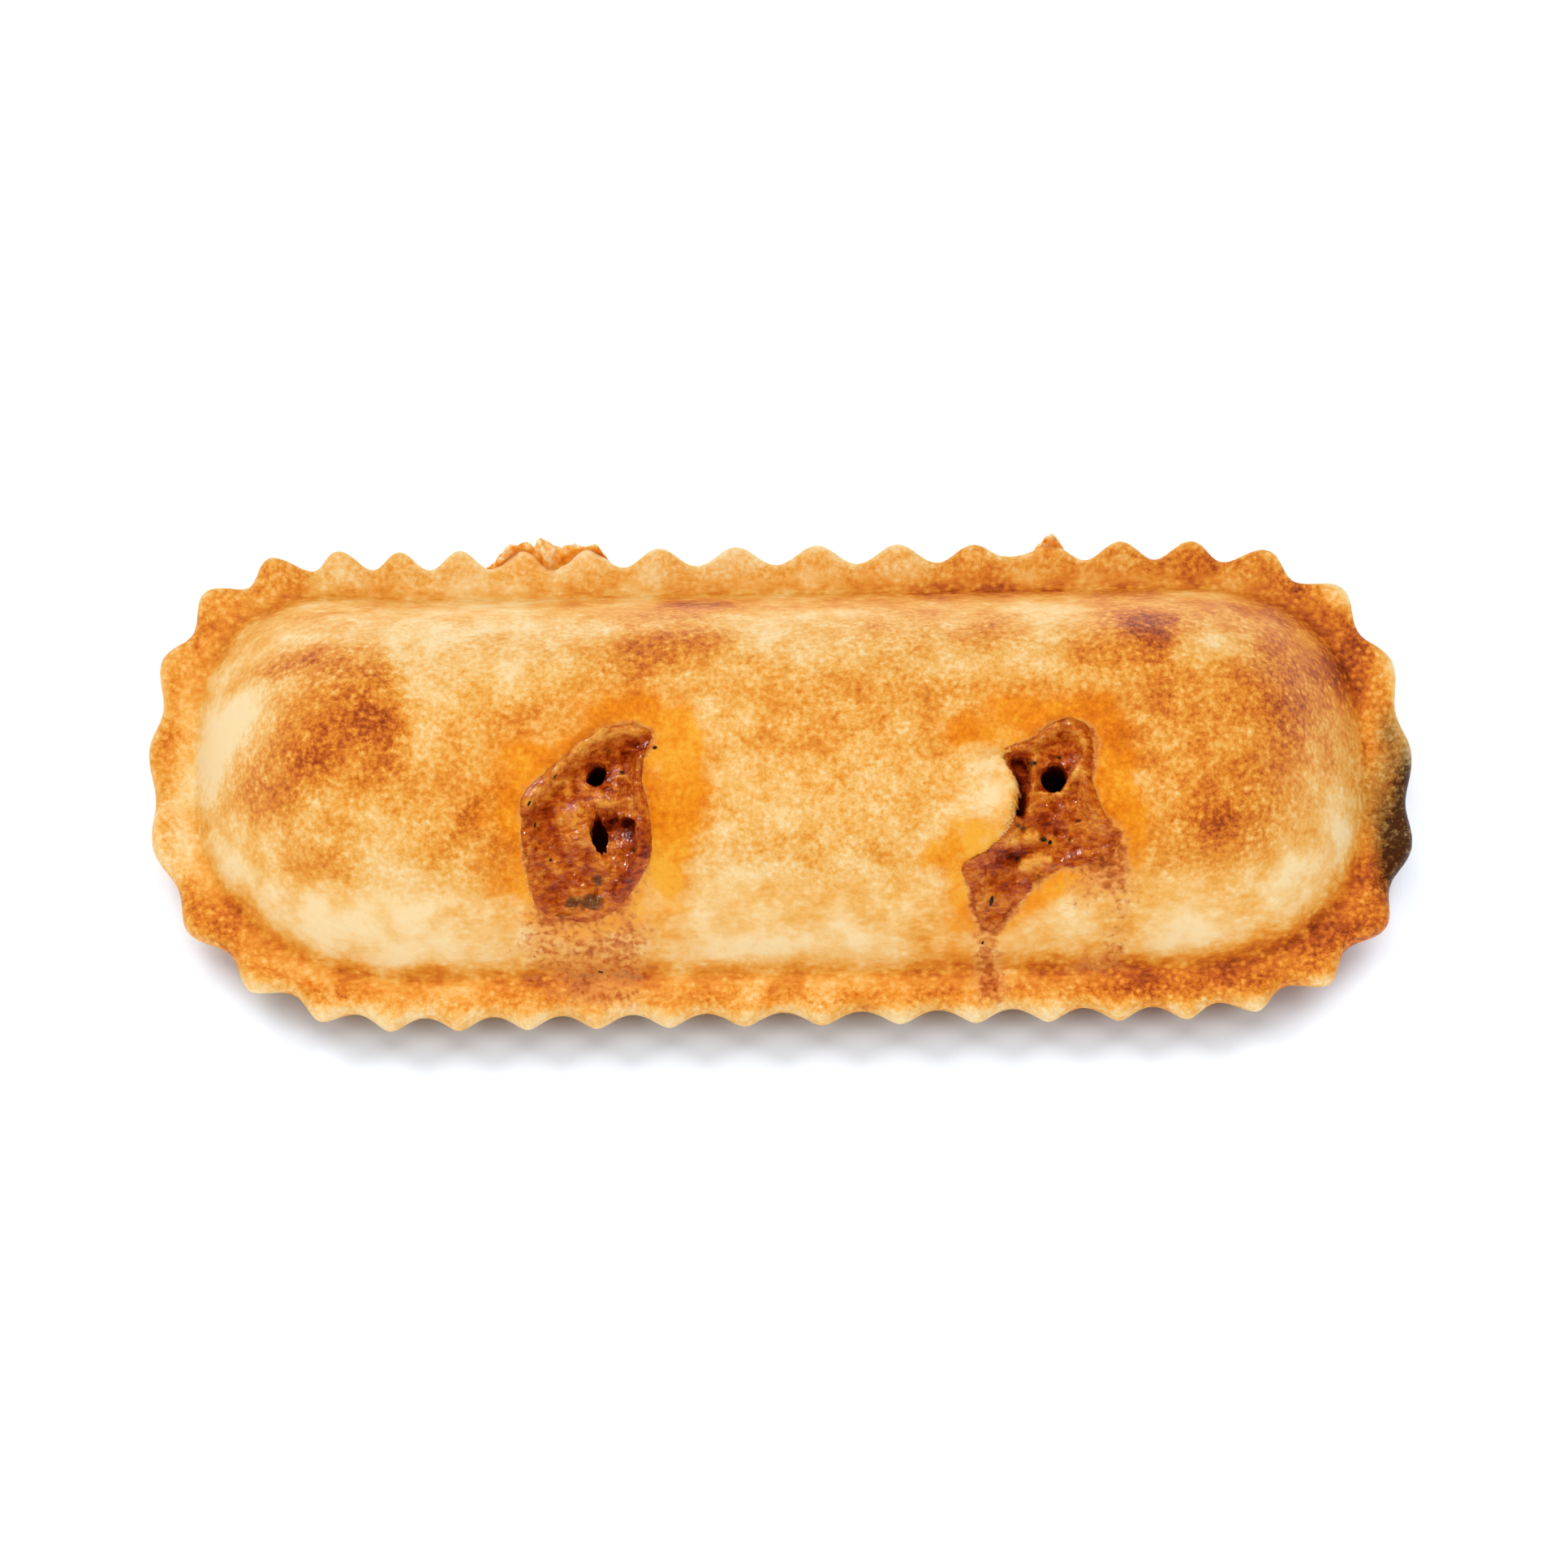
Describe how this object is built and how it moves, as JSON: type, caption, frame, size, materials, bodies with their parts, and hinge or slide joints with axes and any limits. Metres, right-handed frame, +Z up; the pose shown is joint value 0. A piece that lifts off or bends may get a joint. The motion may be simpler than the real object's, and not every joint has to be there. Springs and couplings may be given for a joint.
{
  "type": "chicken empanada",
  "caption": "Long baked hand pie with a fluted pressed rim and a domed, blistered lid that has burst open over its red meat filling.",
  "frame": {"origin": "middle of the flat base, on the surface the empanada rests on", "axes": "+X along the empanada to its right end, +Y to its back edge, +Z up through the lid"},
  "size_m": [0.17, 0.0694, 0.0274],
  "materials": {
    "baked_crust": "golden baked dough, browned in patches",
    "baked_filling": "glossy red-brown minced chicken in oily sauce",
    "seam_leak": "orange filling baked dry and crumbly"
  },
  "bodies": {
    "root": {"crust": "baked_crust", "filling": "baked_filling", "seam_leak_left": "seam_leak", "seam_leak_right": "seam_leak"}
  },
  "joints": []
}
